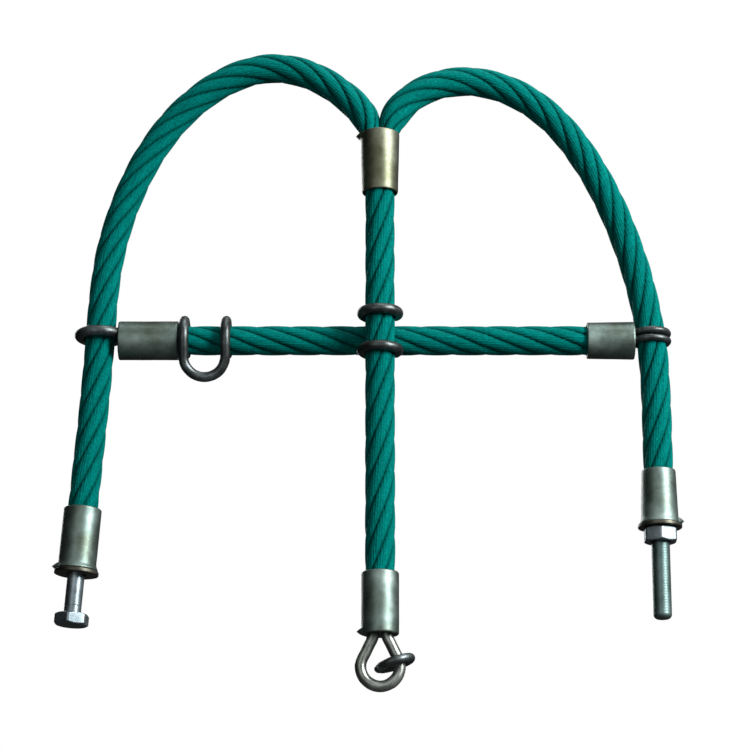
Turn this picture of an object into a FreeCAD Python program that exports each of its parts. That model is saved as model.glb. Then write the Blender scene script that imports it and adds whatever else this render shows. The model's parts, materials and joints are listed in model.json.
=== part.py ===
import FreeCAD, Part

import math
import os

from FreeCAD import Vector

# Playground rope arch assembly, in millimetres, standing upright.
# X runs across the arches, Y from front to back, Z up.
# The origin is under the middle of the outline, level with the lowest point of the eye.
# Places marked "from the crossing" are measured from where the centre rope crosses the crossbar rope.

# ---- driving dimensions -------------------------------------------------------------------------

rope_diameter = 16.0
strand_count = 6
lay_length = 108.0
strand_diameter = 5.0
rope_core_diameter = 5.2

crossing_x = 5.95
crossing_z = 198.5
rope_plane_gap = 16.6
rope_planes_middle = -0.66

ferrule_bore_diameter = 16.4
ferrule_edge_radius = 1.2
rope_depth_in_ferrule = 16.0
flash_reach = 2.6
flash_root = 1.6
flash_height = 3.4
flash_width = 7.0
flash_tip_height = 0.34

y_ferrule_bottom = 80.45
y_ferrule_length = 35.35
y_ferrule_top_diameter = 21.6
y_ferrule_bottom_diameter = 19.8
y_ferrule_bore_diameter = 17.4
mouth_half_spacing = 4.55
mouth_squeeze_across = 0.55
mouth_squeeze_deep = 0.92
squeeze_length = 10.0

# Where each arch passes: across and up from the crossing, and how far from the centre rope's plane
# to the crossbar's plane it has drifted, as a share.
left_arch_way = [
    (-17.0, 136.4, 0.01), (-61.4, 156.5, 0.18), (-106.4, 135.9, 0.46), (-136.7, 92.7, 0.76),
    (-150.8, 46.4, 0.96),
]
right_arch_way = [
    (15.4, 135.6, 0.01), (48.0, 148.2, 0.12), (86.8, 135.9, 0.36), (115.6, 103.9, 0.63),
    (137.0, 57.9, 0.9),
]

left_leg_x = -154.5
left_leg_low_x = -157.6
left_leg_low_z = -50.0
left_foot_x = -161.1
left_foot_top = -95.4
left_foot_length = 34.3
left_foot_diameter = 20.5
left_foot_rope_depth = 15.0
left_foot_lean = 4.0

right_leg_x = 149.8
right_foot_x = 151.5
right_foot_top = -74.0
right_foot_length = 30.0
right_foot_top_diameter = 18.4
right_foot_bottom_diameter = 20.4
right_foot_rope_depth = 10.7
right_leg_straight_length = 24.0

left_tee_end = -144.1
left_tee_length = 33.1
left_tee_diameter = 21.5
right_tee_end = 140.3
right_tee_length = 26.3
right_tee_inner_diameter = 20.0
right_tee_outer_diameter = 21.0
right_tee_rope_depth = 12.0

centre_foot_top = -134.2
centre_foot_length = 33.7
centre_foot_diameter = 19.9

left_tie_rod_diameter = 6.0
left_tie_leg_spacing = 6.4
left_tie_bend_radius = 3.6
left_tie_bite = -0.15
left_tie_rise = 2.6
right_tie_rod_diameter = 4.0
right_tie_leg_spacing = 9.2
right_tie_bend_radius = 2.8
right_tie_bite = 1.0
right_tie_rise = 1.6
right_tie_stack_gap = 0.4
tie_depth = 13.0

eye_rod_diameter = 6.2
eye_outer_width = 27.0
eye_leg_spacing = 7.2
eye_leg_depth = 15.0
eye_shoulder_radius = 4.0

clip_rod_diameter = 5.6
crossing_clip_spacing = 21.0
crossing_clip_bite = 0.8
crossing_clip_slant = 30.0
crossing_clip_wrap = 245.0
u_clip_spacing = 23.0
u_clip_clearance = 0.25
u_clip_hook_opening = 33.0
u_clip_drop = 22.0
u_clip_lean = 20.0
u_clip_x = -96.4

ring_outer_diameter = 22.0
ring_rod_diameter = 4.8
ring_gap_degrees = 24.0
ring_tilt = 18.0
ring_inset = 2.5
ring_height = 2.0

thread_diameter = 10.0
insert_thread_clearance = 0.08
nut_thread_clearance = 0.1
insert_diameter = 16.0
insert_length = 18.0
insert_bevel = 0.8
insert_recess = 0.1
washer_diameter = 24.0
washer_thickness = 2.0
washer_bore_diameter = 10.6
washer_bevel = 0.3
hex_across_flats = 17.0
hex_bevel_diameter = 16.0
hex_bevel_degrees = 30.0
bolt_head_height = 6.4
bolt_head_turn = -7.0
bolt_exposed_length = 21.5
bolt_tip_bevel = 1.0
thread_engagement = 12.0
left_washer_gap = 0.25
nut_height = 8.0
nut_gap = 0.1
nut_turn = 14.0
stud_below_nut = 42.0
stud_tip_radius = 1.6
stud_seat_relief = 0.2

# ---- values worked out from them ----------------------------------------------------------------

rope_radius = rope_diameter / 2
strand_ring_radius = (rope_diameter - strand_diameter) / 2
thread_radius = thread_diameter / 2
crossing_clip_reach = rope_radius - crossing_clip_bite + clip_rod_diameter / 2
u_clip_reach = rope_radius + u_clip_clearance + clip_rod_diameter / 2
eye_bow_radius = (eye_outer_width - eye_rod_diameter) / 2
eye_bow_z = eye_rod_diameter / 2 + eye_bow_radius - crossing_z
crossbar_y = rope_planes_middle + rope_plane_gap / 2
centre_y = rope_planes_middle - rope_plane_gap / 2
y_ferrule_top = y_ferrule_bottom + y_ferrule_length
stations_per_lay = 8
tangent_reach = 0.5
forward = Vector(0, 0, 1)
across = Vector(1, 0, 0)
deep = Vector(0, 1, 0)


def place(x, y, z):
    """A point given from the crossing, in the part's own frame. y is the part's own y."""
    return Vector(crossing_x + x, y, crossing_z + z)


def save(name, shapes):
    """Writes one node: a single solid, or a group of separate solids."""
    shape = shapes[0] if len(shapes) == 1 else Part.makeCompound(shapes)
    shape.exportStep("parts/" + name + ".step")


# ---- small builders -----------------------------------------------------------------------------


def smooth(t):
    """Eases from 0 to 1 as t goes from 0 to 1, and stays there beyond."""
    t = min(max(t, 0.0), 1.0)
    return t * t * (3 - 2 * t)


def smooth_curve(points):
    """A smooth curve through the points, timed by the distances between them."""
    distances = [0.0]
    for start, end in zip(points, points[1:]):
        distances.append(distances[-1] + (end - start).Length)
    curve = Part.BSplineCurve()
    curve.interpolate(Points=points, Parameters=distances)
    return curve


def around(middle, first, second, radius, degrees):
    """The point at an angle round a circle, measured from the first direction towards the second."""
    angle = math.radians(degrees)
    return middle + first * (radius * math.cos(angle)) + second * (radius * math.sin(angle))


def bend(middle, first, second, radius, start_degrees, end_degrees):
    """Three points that fix an arc of a bent rod: its start, its middle and its end."""
    halfway = (start_degrees + end_degrees) / 2
    return [around(middle, first, second, radius, d) for d in (start_degrees, halfway, end_degrees)]


def bent_rod(stops, diameter):
    """A round rod through a row of bends and single points, straight between them."""
    edges = []
    for i, stop in enumerate(stops):
        if i > 0 and not stop[0].isEqual(stops[i - 1][-1], Part.Precision.confusion()):
            edges.append(Part.LineSegment(stops[i - 1][-1], stop[0]).toShape())
        if len(stop) == 3:
            edges.append(Part.Arc(*stop).toShape())
    start = edges[0].valueAt(edges[0].FirstParameter)
    heading = edges[0].tangentAt(edges[0].FirstParameter)
    section = Part.Face(Part.Wire(Part.Circle(start, heading, diameter / 2).toShape()))
    return Part.Wire(edges).makePipe(section)


def turned(profile):
    """A solid of revolution about Z from (radius, height) corners."""
    corners = [Vector(radius, 0, height) for radius, height in profile]
    outline = Part.makePolygon(corners + corners[:1])
    return Part.Face(outline).revolve(Vector(0, 0, 0), forward, 360)


def set_along(shape, point, direction):
    """Puts a shape built on the Z axis at a point, with its Z along the direction."""
    turn = FreeCAD.Rotation(forward, direction)
    shape.Placement = FreeCAD.Placement(point, turn)
    return shape


def hex_prism(height):
    """A hexagonal prism standing on the XY plane, with its corners bevelled at both ends."""
    corner_radius = hex_across_flats / math.sqrt(3)
    corners = [around(Vector(0, 0, 0), across, deep, corner_radius, 60 * i + 30) for i in range(7)]
    prism = Part.Face(Part.makePolygon(corners)).extrude(Vector(0, 0, height))
    face_radius = hex_bevel_diameter / 2
    rise = (corner_radius - face_radius) * math.tan(math.radians(hex_bevel_degrees))
    bevel = turned(
        [(0, 0), (face_radius, 0), (corner_radius, rise), (corner_radius, height - rise),
         (face_radius, height), (0, height)]
    )
    return prism.common(bevel)


def bevelled_ring(bore_radius, radius, length, bevel):
    """A ring standing on Z with its two outer edges bevelled."""
    return turned(
        [(bore_radius, 0), (radius - bevel, 0), (radius, bevel), (radius, length - bevel),
         (radius - bevel, length), (bore_radius, length)]
    )


# ---- ropes --------------------------------------------------------------------------------------


class Rope:
    """A laid rope along a curve: a middle core, and strands of yarn wound round it right-handed."""

    def __init__(self, curve, squeezed_start=False):
        self.curve = curve
        self.length = curve.length()
        self.squeezed_start = squeezed_start

    def freedom(self, distance):
        """0 where the rope is fully squeezed by its first ferrule, rising to 1 where it is free."""
        if not self.squeezed_start:
            return 1.0
        return smooth((distance - rope_depth_in_ferrule) / squeeze_length)

    def thinning(self, distance):
        """How thin each strand is here, as a share of its free thickness."""
        return mouth_squeeze_across + (1 - mouth_squeeze_across) * self.freedom(distance)

    def station(self, distance, ring_radius, start_angle):
        """A point on a strand's middle line, at this distance along the rope."""
        parameter = self.curve.parameterAtDistance(distance, self.curve.FirstParameter)
        ahead = self.curve.tangent(parameter)[0]
        side = (deep - ahead * deep.dot(ahead)).normalize()
        flat = ahead.cross(side)
        angle = start_angle + 2 * math.pi * distance / lay_length
        deep_scale = mouth_squeeze_deep + (1 - mouth_squeeze_deep) * self.freedom(distance)
        across_scale = self.thinning(distance)
        offset = side * (deep_scale * math.cos(angle)) + flat * (across_scale * math.sin(angle))
        return self.curve.value(parameter) + offset * ring_radius

    def rings(self, ring_radius, radius, start_angle):
        """The control polygons of circles along one strand, each square to the strand."""
        count = math.ceil(self.length / lay_length * stations_per_lay)
        polygons = []
        for i in range(count + 1):
            distance = i * self.length / count
            behind = self.station(max(distance - tangent_reach, 0), ring_radius, start_angle)
            point = self.station(distance, ring_radius, start_angle)
            beyond = self.station(min(distance + tangent_reach, self.length), ring_radius, start_angle)
            heading = (beyond - behind).normalize()
            seam = (deep - heading * deep.dot(heading)).normalize()
            thinned = radius * self.thinning(distance)
            polygons.append(circle_polygon(point, seam, heading.cross(seam), thinned))
        return polygons

    def strands(self):
        """The strands, side by side round the core."""
        angles = [2 * math.pi * i / strand_count for i in range(strand_count)]
        return [bar_through(self.rings(strand_ring_radius, strand_diameter / 2, a)) for a in angles]

    def middle_core(self):
        """The fibre core that the strands are wound on."""
        return bar_through(self.rings(0.0, rope_core_diameter / 2, 0.0))


def circle_polygon(middle, first, second, radius):
    """The nine control points of an exact circle made of four quarter arcs."""
    points = []
    for i in range(9):
        angle = math.radians(45 * i)
        reach = radius * (math.sqrt(2) if i % 2 else 1.0)
        points.append(middle + first * (reach * math.cos(angle)) + second * (reach * math.sin(angle)))
    return points


def skin_through(polygons):
    """One smooth surface through a row of circles, given by their control polygons."""
    steps = [float(i) for i in range(len(polygons))]
    lines = []
    for i in range(9):
        line = Part.BSplineCurve()
        line.interpolate(Points=[polygon[i] for polygon in polygons], Parameters=steps)
        lines.append(line)
    along = lines[0]
    rows = [[line.getPole(i + 1) for line in lines] for i in range(along.NbPoles)]
    weights = [[math.sqrt(0.5) if i % 2 else 1.0 for i in range(9)] for _ in rows]
    surface = Part.BSplineSurface()
    surface.buildFromPolesMultsKnots(
        rows, along.getMultiplicities(), [3, 2, 2, 2, 3], along.getKnots(), [0, 1, 2, 3, 4],
        False, False, along.Degree, 2, weights,
    )
    return surface


def end_wire(surface, at_end):
    """The circle at one end of a skin."""
    first, last, _, _ = surface.bounds()
    return Part.Wire(surface.uIso(last if at_end else first).toShape())


def closed_solid(faces):
    """The solid inside a closed set of faces."""
    shell = Part.makeShell(faces)
    shell.sewShape()
    solid = Part.makeSolid(shell)
    return solid if solid.Volume > 0 else Part.makeSolid(shell.reversed())


def bar_through(polygons):
    """A full round bar through a row of circles."""
    skin = skin_through(polygons)
    caps = [Part.Face(end_wire(skin, at_end)) for at_end in (False, True)]
    return closed_solid([skin.toShape()] + caps)


def arch_curve(mouth_x, way, leg_points):
    """From inside the Y ferrule, up and over, and down a leg into its foot."""
    points = []
    for below_mouth in (rope_depth_in_ferrule, rope_depth_in_ferrule / 2, 0):
        points.append(place(mouth_x, centre_y, y_ferrule_top - below_mouth))
    for x, z, drift in way:
        points.append(place(x, centre_y + drift * rope_plane_gap, z))
    return smooth_curve(points + leg_points)


def left_arch_curve():
    """The left arch, whose leg leans a little in its foot."""
    leg = [place(left_leg_x, crossbar_y, 0), place(left_leg_low_x, crossbar_y, left_leg_low_z)]
    foot = [left_foot_point(share * left_foot_rope_depth) for share in (0, 0.5, 1)]
    return arch_curve(-mouth_half_spacing, left_arch_way, leg + foot)


def right_arch_curve():
    """The right arch, which comes down upright into its foot."""
    leg = [place(right_leg_x, crossbar_y, 0), right_foot_point(-right_leg_straight_length)]
    foot = [right_foot_point(share * right_foot_rope_depth) for share in (0, 0.5, 1)]
    return arch_curve(mouth_half_spacing, right_arch_way, leg + foot)


def straight_curve(start, end):
    """A straight run as a curve."""
    curve = Part.BSplineCurve()
    curve.interpolate(Points=[start, (start + end) / 2, end])
    return curve


def build_ropes():
    """Four ropes, each written as its strands and its core."""
    centre_low = place(0, centre_y, centre_foot_top - rope_depth_in_ferrule)
    centre_high = place(0, centre_y, y_ferrule_bottom + rope_depth_in_ferrule)
    left_inside = place(left_tee_end + left_tee_length - rope_depth_in_ferrule, crossbar_y, 0)
    right_inside = place(right_tee_end - right_tee_length + right_tee_rope_depth, crossbar_y, 0)
    ropes = {
        "left_arch_rope": Rope(left_arch_curve(), squeezed_start=True),
        "right_arch_rope": Rope(right_arch_curve(), squeezed_start=True),
        "centre_rope": Rope(straight_curve(centre_low, centre_high)),
        "crossbar_rope": Rope(straight_curve(left_inside, right_inside)),
    }
    for name, rope in ropes.items():
        save(name + "_strands", rope.strands())
        save(name + "_core", [rope.middle_core()])


# ---- ferrules -----------------------------------------------------------------------------------


def sleeve(length, start_diameter, end_diameter, bore_diameter, solid_length=0.0):
    """A pressed tube standing on Z, with its outer edges rounded.

    It is open right through, or squeezed solid over solid_length from its start.
    """
    start_radius = start_diameter / 2
    end_radius = end_diameter / 2
    bore = bore_diameter / 2
    wall = min(start_radius, end_radius) - bore
    outline = [(start_radius, 0), (end_radius, length), (bore, length), (bore, solid_length)]
    outline.append((0, solid_length) if solid_length > 0 else (bore, 0))
    if solid_length > 0:
        outline.append((0, 0))
    tube = turned(outline)
    edges = [e for e in tube.Edges if round_edge_radius(e) > bore + 0.5 * wall]
    return tube.makeFillet(min(ferrule_edge_radius, 0.7 * wall), edges)


def round_edge_radius(edge):
    """The radius of a circular edge, or 0 for any other edge."""
    return edge.Curve.Radius if isinstance(edge.Curve, Part.Circle) else 0.0


def flash_fin(radius, height, degrees):
    """The thin ear that the pressing die squeezes out at a ferrule's end, pointing outwards."""
    root = radius - flash_root
    tip = radius + flash_reach
    middle = height + flash_height / 2
    outlines = []
    for root_height, tip_height in (
        (height, middle - flash_tip_height / 2),
        (height + flash_height, middle + flash_tip_height / 2),
    ):
        corners = [
            Vector(root, -flash_width / 2, root_height),
            Vector(tip, 0, tip_height),
            Vector(root, flash_width / 2, root_height),
        ]
        outlines.append(Part.makePolygon(corners + corners[:1]))
    fin = Part.makeLoft(outlines, True, True)
    fin.rotate(Vector(0, 0, 0), forward, degrees)
    return fin


def foot_ferrule(length, bottom_diameter, top_diameter, flash_degrees, solid_length=0.0):
    """A ferrule at a rope's lower end, built upwards from its lower face."""
    body = sleeve(length, bottom_diameter, top_diameter, ferrule_bore_diameter, solid_length)
    return body.fuse(flash_fin(bottom_diameter / 2, 0, flash_degrees)).removeSplitter()


def lean_direction():
    """The way up along the leaning left foot."""
    lean = math.radians(left_foot_lean)
    return Vector(math.sin(lean), 0, math.cos(lean))


def left_foot_point(below_top):
    """A point on the left foot's axis, this far below the ferrule's top."""
    return place(left_foot_x, crossbar_y, left_foot_top) - lean_direction() * below_top


def right_foot_point(below_top):
    """A point on the right foot's axis, this far below the ferrule's top."""
    return place(right_foot_x, crossbar_y, right_foot_top - below_top)


# ---- bent rods ----------------------------------------------------------------------------------


def tie_loop(leg, mouth, outward, rod_diameter, leg_spacing, bend_radius, bite):
    """A loop lying flat round a leg, its two ends side by side in the tee ferrule.

    leg is the leg's middle, mouth the middle of the ferrule's end, outward the way from mouth to leg.
    bite is how far the loop presses into the rope, and is below 0 where the loop stands clear of it.
    """
    reach = rope_radius - bite + rod_diameter / 2
    half = leg_spacing / 2
    shoulder = half + bend_radius
    back = math.sqrt((reach + bend_radius) ** 2 - shoulder ** 2)
    lean = math.degrees(math.atan2(shoulder, back))
    first_shoulder = leg - outward * back + deep * shoulder
    last_shoulder = leg - outward * back - deep * shoulder
    return bent_rod(
        [
            [mouth - outward * tie_depth + deep * half],
            bend(first_shoulder, outward, deep, bend_radius, -90, -lean),
            bend(leg, outward, deep, reach, 180 - lean, lean - 180),
            bend(last_shoulder, outward, deep, bend_radius, lean, 90),
            [mouth - outward * tie_depth - deep * half],
        ],
        rod_diameter,
    )


def build_left_tie():
    """The loop of one thick rod that ties the crossbar rope's left end to the left leg."""
    lift = forward * left_tie_rise
    loop = tie_loop(
        place(left_leg_x, crossbar_y, 0) + lift, place(left_tee_end, crossbar_y, 0) + lift, -across,
        left_tie_rod_diameter, left_tie_leg_spacing, left_tie_bend_radius, left_tie_bite,
    )
    save("left_tie_loop", [loop])
    return loop


def build_right_ties():
    """The two thin loops, one above the other, that tie the crossbar rope to the right leg."""
    half_stack = (right_tie_rod_diameter + right_tie_stack_gap) / 2
    loops = []
    for stack_place in (-half_stack, half_stack):
        lift = forward * (right_tie_rise + stack_place)
        loops.append(
            tie_loop(
                place(right_leg_x, crossbar_y, 0) + lift, place(right_tee_end, crossbar_y, 0) + lift,
                across, right_tie_rod_diameter, right_tie_leg_spacing, right_tie_bend_radius,
                right_tie_bite,
            )
        )
    save("right_tie_loops", loops)
    return loops


def build_eye():
    """The teardrop eye under the centre rope, both legs held in its ferrule."""
    half = eye_leg_spacing / 2
    mouth_z = centre_foot_top - centre_foot_length
    shoulder_x = half + eye_shoulder_radius
    span = math.hypot(shoulder_x, mouth_z - eye_bow_z)
    rise = math.atan2(mouth_z - eye_bow_z, shoulder_x)
    slant = math.degrees(rise - math.acos((eye_bow_radius + eye_shoulder_radius) / span))
    right_shoulder = place(shoulder_x, centre_y, mouth_z)
    left_shoulder = place(-shoulder_x, centre_y, mouth_z)
    bow_middle = place(0, centre_y, eye_bow_z)
    eye = bent_rod(
        [
            [place(half, centre_y, mouth_z + eye_leg_depth)],
            bend(right_shoulder, across, forward, eye_shoulder_radius, 180, 180 + slant),
            bend(bow_middle, across, forward, eye_bow_radius, slant, -180 - slant),
            bend(left_shoulder, across, forward, eye_shoulder_radius, -slant, 0),
            [place(-half, centre_y, mouth_z + eye_leg_depth)],
        ],
        eye_rod_diameter,
    )
    save("eye", [eye])
    return eye


def build_open_ring():
    """An open ring threaded through the eye, round its right-hand side."""
    middle = place(eye_bow_radius - ring_inset, centre_y, eye_bow_z + ring_height)
    tilted = FreeCAD.Rotation(deep, -ring_tilt).multVec(across)
    radius = (ring_outer_diameter - ring_rod_diameter) / 2
    half_gap = ring_gap_degrees / 2
    arc = bend(middle, tilted, deep, radius, half_gap - 180, 180 - half_gap)
    save("open_ring", [bent_rod([arc], ring_rod_diameter)])


def build_crossing_clip():
    """The clip that holds the crossing: a bow behind the crossbar and two arms round the centre rope."""
    half = crossing_clip_spacing / 2
    arm_end = 180 + crossing_clip_slant
    slant = math.radians(crossing_clip_slant)
    heading = Vector(math.sin(slant), math.cos(slant), 0)
    arms = []
    for height in (half, -half):
        middle = place(0, centre_y, height)
        arms.append(bend(middle, across, -deep, crossing_clip_reach, arm_end - crossing_clip_wrap, arm_end))
    run = (crossbar_y - (arms[0][2] - place(0, 0, 0)).y) / heading.y
    bow_middle = arms[0][2] + heading * run - forward * half
    bow = bend(bow_middle, heading, forward, half, 90, -90)
    save("crossing_clip", [bent_rod([arms[0], bow, arms[1][::-1]], clip_rod_diameter)])


def build_u_clip():
    """The spare clip, hooked over the crossbar rope and hanging from it."""
    half = u_clip_spacing / 2
    lean = math.radians(u_clip_lean)
    down = Vector(0, math.sin(lean), -math.cos(lean))
    middle = place(u_clip_x, crossbar_y, 0)
    hooks = []
    for side in (-half, half):
        hooks.append(
            bend(
                middle + across * side, deep, forward, u_clip_reach,
                -u_clip_hook_opening, 180 + u_clip_lean,
            )
        )
    drop = u_clip_drop - u_clip_reach * math.sin(lean)
    shank = drop / math.cos(lean) - half
    bow_middle = (hooks[0][2] + hooks[1][2]) / 2 + down * shank
    bow = bend(bow_middle, across, down, half, 180, 0)
    save("u_clip", [bent_rod([hooks[0], bow, hooks[1][::-1]], clip_rod_diameter)])


def build_ferrules(left_tie, right_ties, eye):
    """The six pressed sleeves. Three of them are squeezed solid round the rods that they grip."""
    y_bottom, y_top = y_ferrule_bottom_diameter, y_ferrule_top_diameter
    y_body = sleeve(y_ferrule_length, y_bottom, y_top, y_ferrule_bore_diameter)
    y_flash = flash_fin(y_ferrule_top_diameter / 2, y_ferrule_length - flash_height, 180)
    y_ferrule = y_body.fuse(y_flash).removeSplitter()
    save("y_ferrule", [set_along(y_ferrule, place(0, centre_y, y_ferrule_bottom), forward)])

    left_foot = foot_ferrule(left_foot_length, left_foot_diameter, left_foot_diameter, 180)
    save("left_foot_ferrule", [set_along(left_foot, left_foot_point(left_foot_length), lean_direction())])

    right_foot = foot_ferrule(right_foot_length, right_foot_bottom_diameter, right_foot_top_diameter, 0)
    save("right_foot_ferrule", [set_along(right_foot, right_foot_point(right_foot_length), forward)])

    diameter = centre_foot_diameter
    centre_foot = foot_ferrule(centre_foot_length, diameter, diameter, 180, eye_leg_depth)
    centre_low = place(0, centre_y, centre_foot_top - centre_foot_length)
    save("centre_foot_ferrule", [set_along(centre_foot, centre_low, forward).cut(eye)])

    bore = ferrule_bore_diameter
    left_tee = sleeve(left_tee_length, left_tee_diameter, left_tee_diameter, bore, tie_depth)
    left_mouth = place(left_tee_end, crossbar_y, 0)
    save("left_tee_ferrule", [set_along(left_tee, left_mouth, across).cut(left_tie)])

    inner, outer = right_tee_inner_diameter, right_tee_outer_diameter
    right_tee = sleeve(right_tee_length, outer, inner, bore, tie_depth)
    right_mouth = place(right_tee_end, crossbar_y, 0)
    save("right_tee_ferrule", [set_along(right_tee, right_mouth, -across).cut(right_ties)])


# ---- threaded ends ------------------------------------------------------------------------------


def threaded_insert():
    """A barrel with a threaded bore, pressed into a foot ferrule, standing on Z."""
    bore_radius = thread_radius + insert_thread_clearance
    return bevelled_ring(bore_radius, insert_diameter / 2, insert_length, insert_bevel)


def plain_washer():
    """A flat washer standing on Z."""
    return bevelled_ring(washer_bore_diameter / 2, washer_diameter / 2, washer_thickness, washer_bevel)


def build_left_foot():
    """The left foot's insert, washer and hexagon bolt."""
    up = lean_direction()
    insert_low = left_foot_point(left_foot_length - insert_recess)
    save("left_insert", [set_along(threaded_insert(), insert_low, up)])
    washer_low = left_foot_length + left_washer_gap + washer_thickness
    save("left_washer", [set_along(plain_washer(), left_foot_point(washer_low), up)])

    shank_length = bolt_exposed_length + washer_thickness + left_washer_gap + thread_engagement
    shank = turned(
        [(0, 0), (thread_radius, 0), (thread_radius, shank_length - bolt_tip_bevel),
         (thread_radius - bolt_tip_bevel, shank_length), (0, shank_length)]
    )
    head = hex_prism(bolt_head_height)
    head.translate(Vector(0, 0, -bolt_head_height))
    head.rotate(Vector(0, 0, 0), forward, bolt_head_turn)
    bolt = head.fuse(shank).removeSplitter()
    save("left_bolt", [set_along(bolt, left_foot_point(washer_low + bolt_exposed_length), up)])


def build_right_foot():
    """The right foot's insert, washer, stud and nut."""
    insert_low = right_foot_point(right_foot_length - insert_recess)
    save("right_insert", [set_along(threaded_insert(), insert_low, forward)])
    washer_low = right_foot_length + nut_gap + washer_thickness
    save("right_washer", [set_along(plain_washer(), right_foot_point(washer_low), forward)])
    nut_low = washer_low + nut_gap + nut_height
    nut = hex_prism(nut_height).cut(Part.makeCylinder(thread_radius + nut_thread_clearance, nut_height))
    nut.rotate(Vector(0, 0, 0), forward, nut_turn)
    save("right_nut", [set_along(nut, right_foot_point(nut_low), forward)])

    seated_length = nut_low - right_foot_length + thread_engagement
    free = Part.makeCylinder(thread_radius, stud_below_nut)
    seated = Part.makeCylinder(thread_radius - stud_seat_relief, seated_length, forward * stud_below_nut)
    stud = free.fuse(seated)
    tip = [e for e in stud.Edges if round_edge_radius(e) > 0 and e.BoundBox.ZMax < stud_tip_radius]
    stud = stud.makeFillet(stud_tip_radius, tip)
    save("right_stud", [set_along(stud, right_foot_point(nut_low + stud_below_nut), forward)])


def build_all():
    """Writes every node of the assembly."""
    os.makedirs("parts", exist_ok=True)
    build_ropes()
    build_ferrules(build_left_tie(), build_right_ties(), build_eye())
    build_open_ring()
    build_crossing_clip()
    build_u_clip()
    build_left_foot()
    build_right_foot()


build_all()
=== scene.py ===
import json
import math

import bpy
import numpy as np
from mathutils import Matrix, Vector


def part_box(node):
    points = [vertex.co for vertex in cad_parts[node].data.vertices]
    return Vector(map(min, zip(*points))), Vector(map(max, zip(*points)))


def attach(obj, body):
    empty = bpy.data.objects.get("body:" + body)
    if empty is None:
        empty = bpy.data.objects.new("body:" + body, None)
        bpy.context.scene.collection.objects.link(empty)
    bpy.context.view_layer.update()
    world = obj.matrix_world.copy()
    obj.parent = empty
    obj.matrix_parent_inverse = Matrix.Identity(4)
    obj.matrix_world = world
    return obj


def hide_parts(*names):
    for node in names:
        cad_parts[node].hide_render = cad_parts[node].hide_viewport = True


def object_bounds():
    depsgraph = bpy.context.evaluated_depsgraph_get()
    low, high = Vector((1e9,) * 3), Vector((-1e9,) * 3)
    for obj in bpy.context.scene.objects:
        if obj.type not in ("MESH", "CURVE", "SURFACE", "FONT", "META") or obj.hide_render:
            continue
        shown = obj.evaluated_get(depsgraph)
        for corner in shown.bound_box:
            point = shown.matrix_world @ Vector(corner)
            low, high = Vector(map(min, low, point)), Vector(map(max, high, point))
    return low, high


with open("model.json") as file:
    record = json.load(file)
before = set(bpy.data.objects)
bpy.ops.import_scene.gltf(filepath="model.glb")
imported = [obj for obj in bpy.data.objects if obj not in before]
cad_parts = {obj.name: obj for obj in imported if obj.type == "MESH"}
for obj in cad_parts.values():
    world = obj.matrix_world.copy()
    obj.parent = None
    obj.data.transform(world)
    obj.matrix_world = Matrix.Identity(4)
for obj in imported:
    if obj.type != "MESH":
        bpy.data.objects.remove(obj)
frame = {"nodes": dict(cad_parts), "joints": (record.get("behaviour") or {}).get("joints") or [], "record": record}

cad_low, cad_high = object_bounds()

# The looks of a playground rope arch assembly, built on its CAD model. Metres; X runs across the
# arches, Y from front to back, Z up. Every place and size is read back from the CAD meshes.

MM = 0.001
UP = np.array([0.0, 0.0, 1.0])
ACROSS = np.array([1.0, 0.0, 0.0])
DEEP = np.array([0.0, 1.0, 0.0])

joints = {joint["name"]: joint for joint in frame["joints"]}
behaviour = frame["record"]["behaviour"]
slot_of_node = {part["node"]: part["material_slot"] for part in frame["record"]["subparts"]}
body_of_node = {node: body for body, nodes in behaviour["bodies"].items() for node in nodes}
# The nut's spin follows its travel, in radians per metre, so one turn of it is one thread pitch.
thread_pitch = 2 * math.pi / behaviour["couplings"][0]["ratio"]

random = np.random.default_rng(11)


# ---- reading the CAD meshes ---------------------------------------------------------------------


fewest_crossings = 8  # that a ring round a rod must have
widest_gap = 1.2  # radians between two of them


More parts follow.
